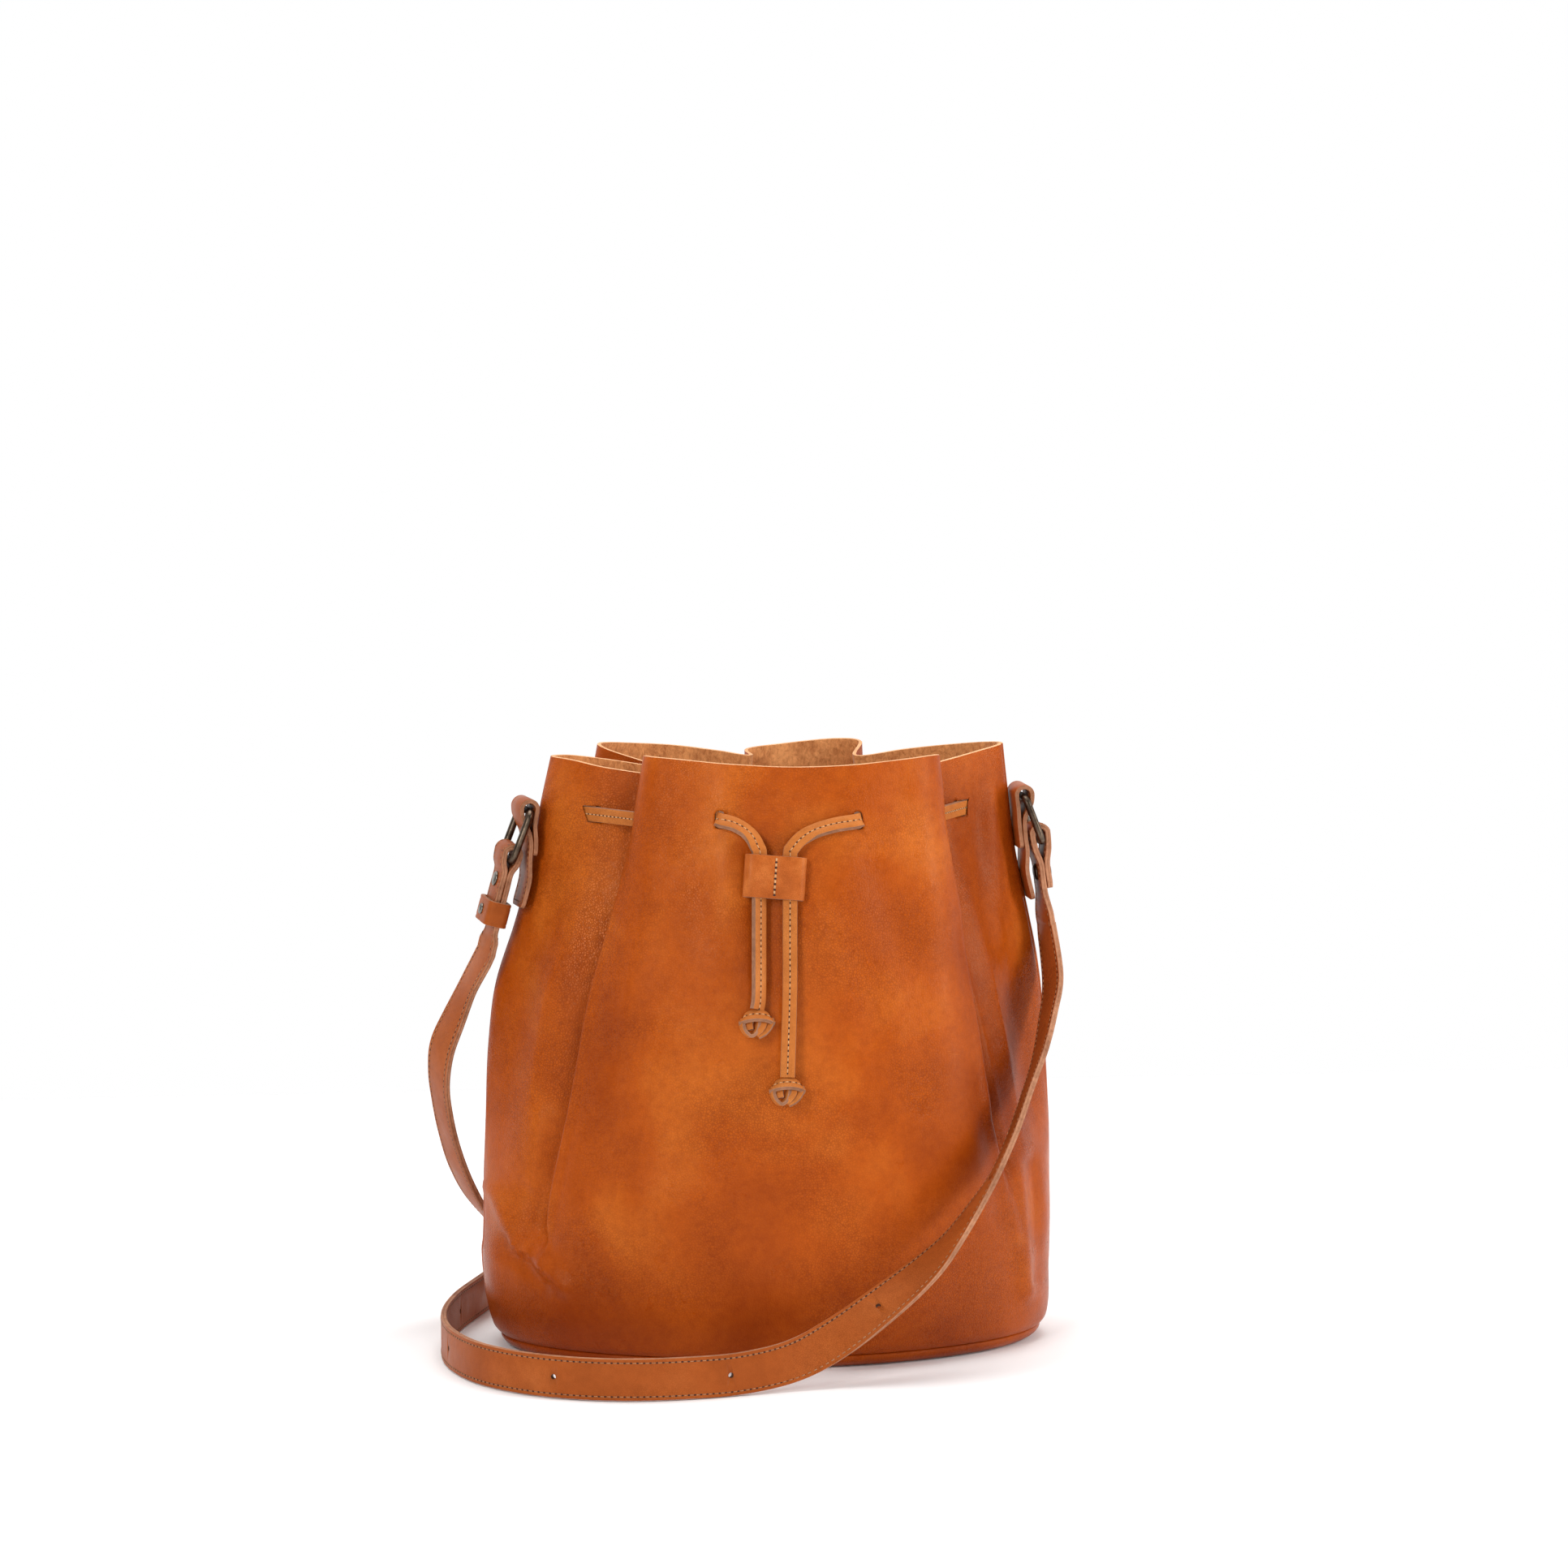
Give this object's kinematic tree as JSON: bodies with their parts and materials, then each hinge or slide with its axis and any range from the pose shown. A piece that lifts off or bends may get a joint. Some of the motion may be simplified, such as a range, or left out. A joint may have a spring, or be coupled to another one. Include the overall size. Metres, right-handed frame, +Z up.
{
  "type": "bucket bag",
  "caption": "Drawstring bucket bag of unlined leather with a gathered mouth, an oval base, a threaded lace with a sliding sleeve, side tabs with metal rings and a long shoulder strap",
  "frame": {"origin": "centre of the oval base on the surface the bag stands on", "axes": "+X towards the right-hand tab as seen from the front, -Y out of the front with the sleeve, +Z up out of the mouth"},
  "size_m": [0.3116, 0.2816, 0.2947],
  "materials": {
    "body_leather": "smooth waxed cognac leather with fine grain",
    "strap_leather": "smooth tan leather with paler cut edges",
    "lace_leather": "smooth light tan leather",
    "base_board": "bonded leather board",
    "antique_brass": "aged satin",
    "grey_nickel": "aged satin"
  },
  "bodies": {
    "bag": {"body_front": "body_leather", "body_back": "body_leather", "base_panel": "body_leather", "base_stiffener": "base_board", "tab_left": "strap_leather", "tab_right": "strap_leather", "strap_run": "strap_leather", "drawstring_run": "lace_leather", "drawstring_left": "lace_leather", "drawstring_right": "lace_leather", "knot_left": "lace_leather", "knot_right": "lace_leather"},
    "left_ring": {"ring_left": "antique_brass"},
    "right_ring": {"ring_right": "antique_brass"},
    "left_strap_end": {"strap_end_left": "strap_leather", "strap_stud_cap": "grey_nickel", "strap_stud_back": "grey_nickel"},
    "right_strap_end": {"strap_end_right": "strap_leather", "strap_rivet_cap": "antique_brass", "strap_rivet_back": "antique_brass"},
    "keeper": {"keeper_loop": "strap_leather", "keeper_stud_cap": "grey_nickel", "keeper_stud_back": "grey_nickel"},
    "lace_sleeve": {"cord_slide": "lace_leather"}
  },
  "joints": [
    {"name": "left_ring_swing", "type": "hinge", "parent": "bag", "child": "left_ring", "pos_m": [-0.12045, 0.00926, 0.2643], "axis": [-0.1392, 0.9903, 0], "range_deg": [0, 45]},
    {"name": "right_ring_swing", "type": "hinge", "parent": "bag", "child": "right_ring", "pos_m": [0.12519, 0.01209, 0.2678], "axis": [0.0174, -0.9998, 0], "range_deg": [0, 45]},
    {"name": "left_strap_swing", "type": "hinge", "parent": "left_ring", "child": "left_strap_end", "pos_m": [-0.1297, 0.00796, 0.24057], "axis": [-0.1392, 0.9903, 0], "range_deg": [-4, 25]},
    {"name": "right_strap_swing", "type": "hinge", "parent": "right_ring", "child": "right_strap_end", "pos_m": [0.1338, 0.01224, 0.24594], "axis": [0.0174, -0.9998, 0], "range_deg": [-1.5, 12]},
    {"name": "keeper_slide", "type": "slide", "parent": "left_strap_end", "child": "keeper", "axis": [-0.261, -0.0014, -0.9653], "range_m": [0, 0.0025]},
    {"name": "sleeve_slide", "type": "slide", "parent": "bag", "child": "lace_sleeve", "axis": [-0.0236, -0.1726, -0.9847], "range_m": [0, 0.036]}
  ]
}
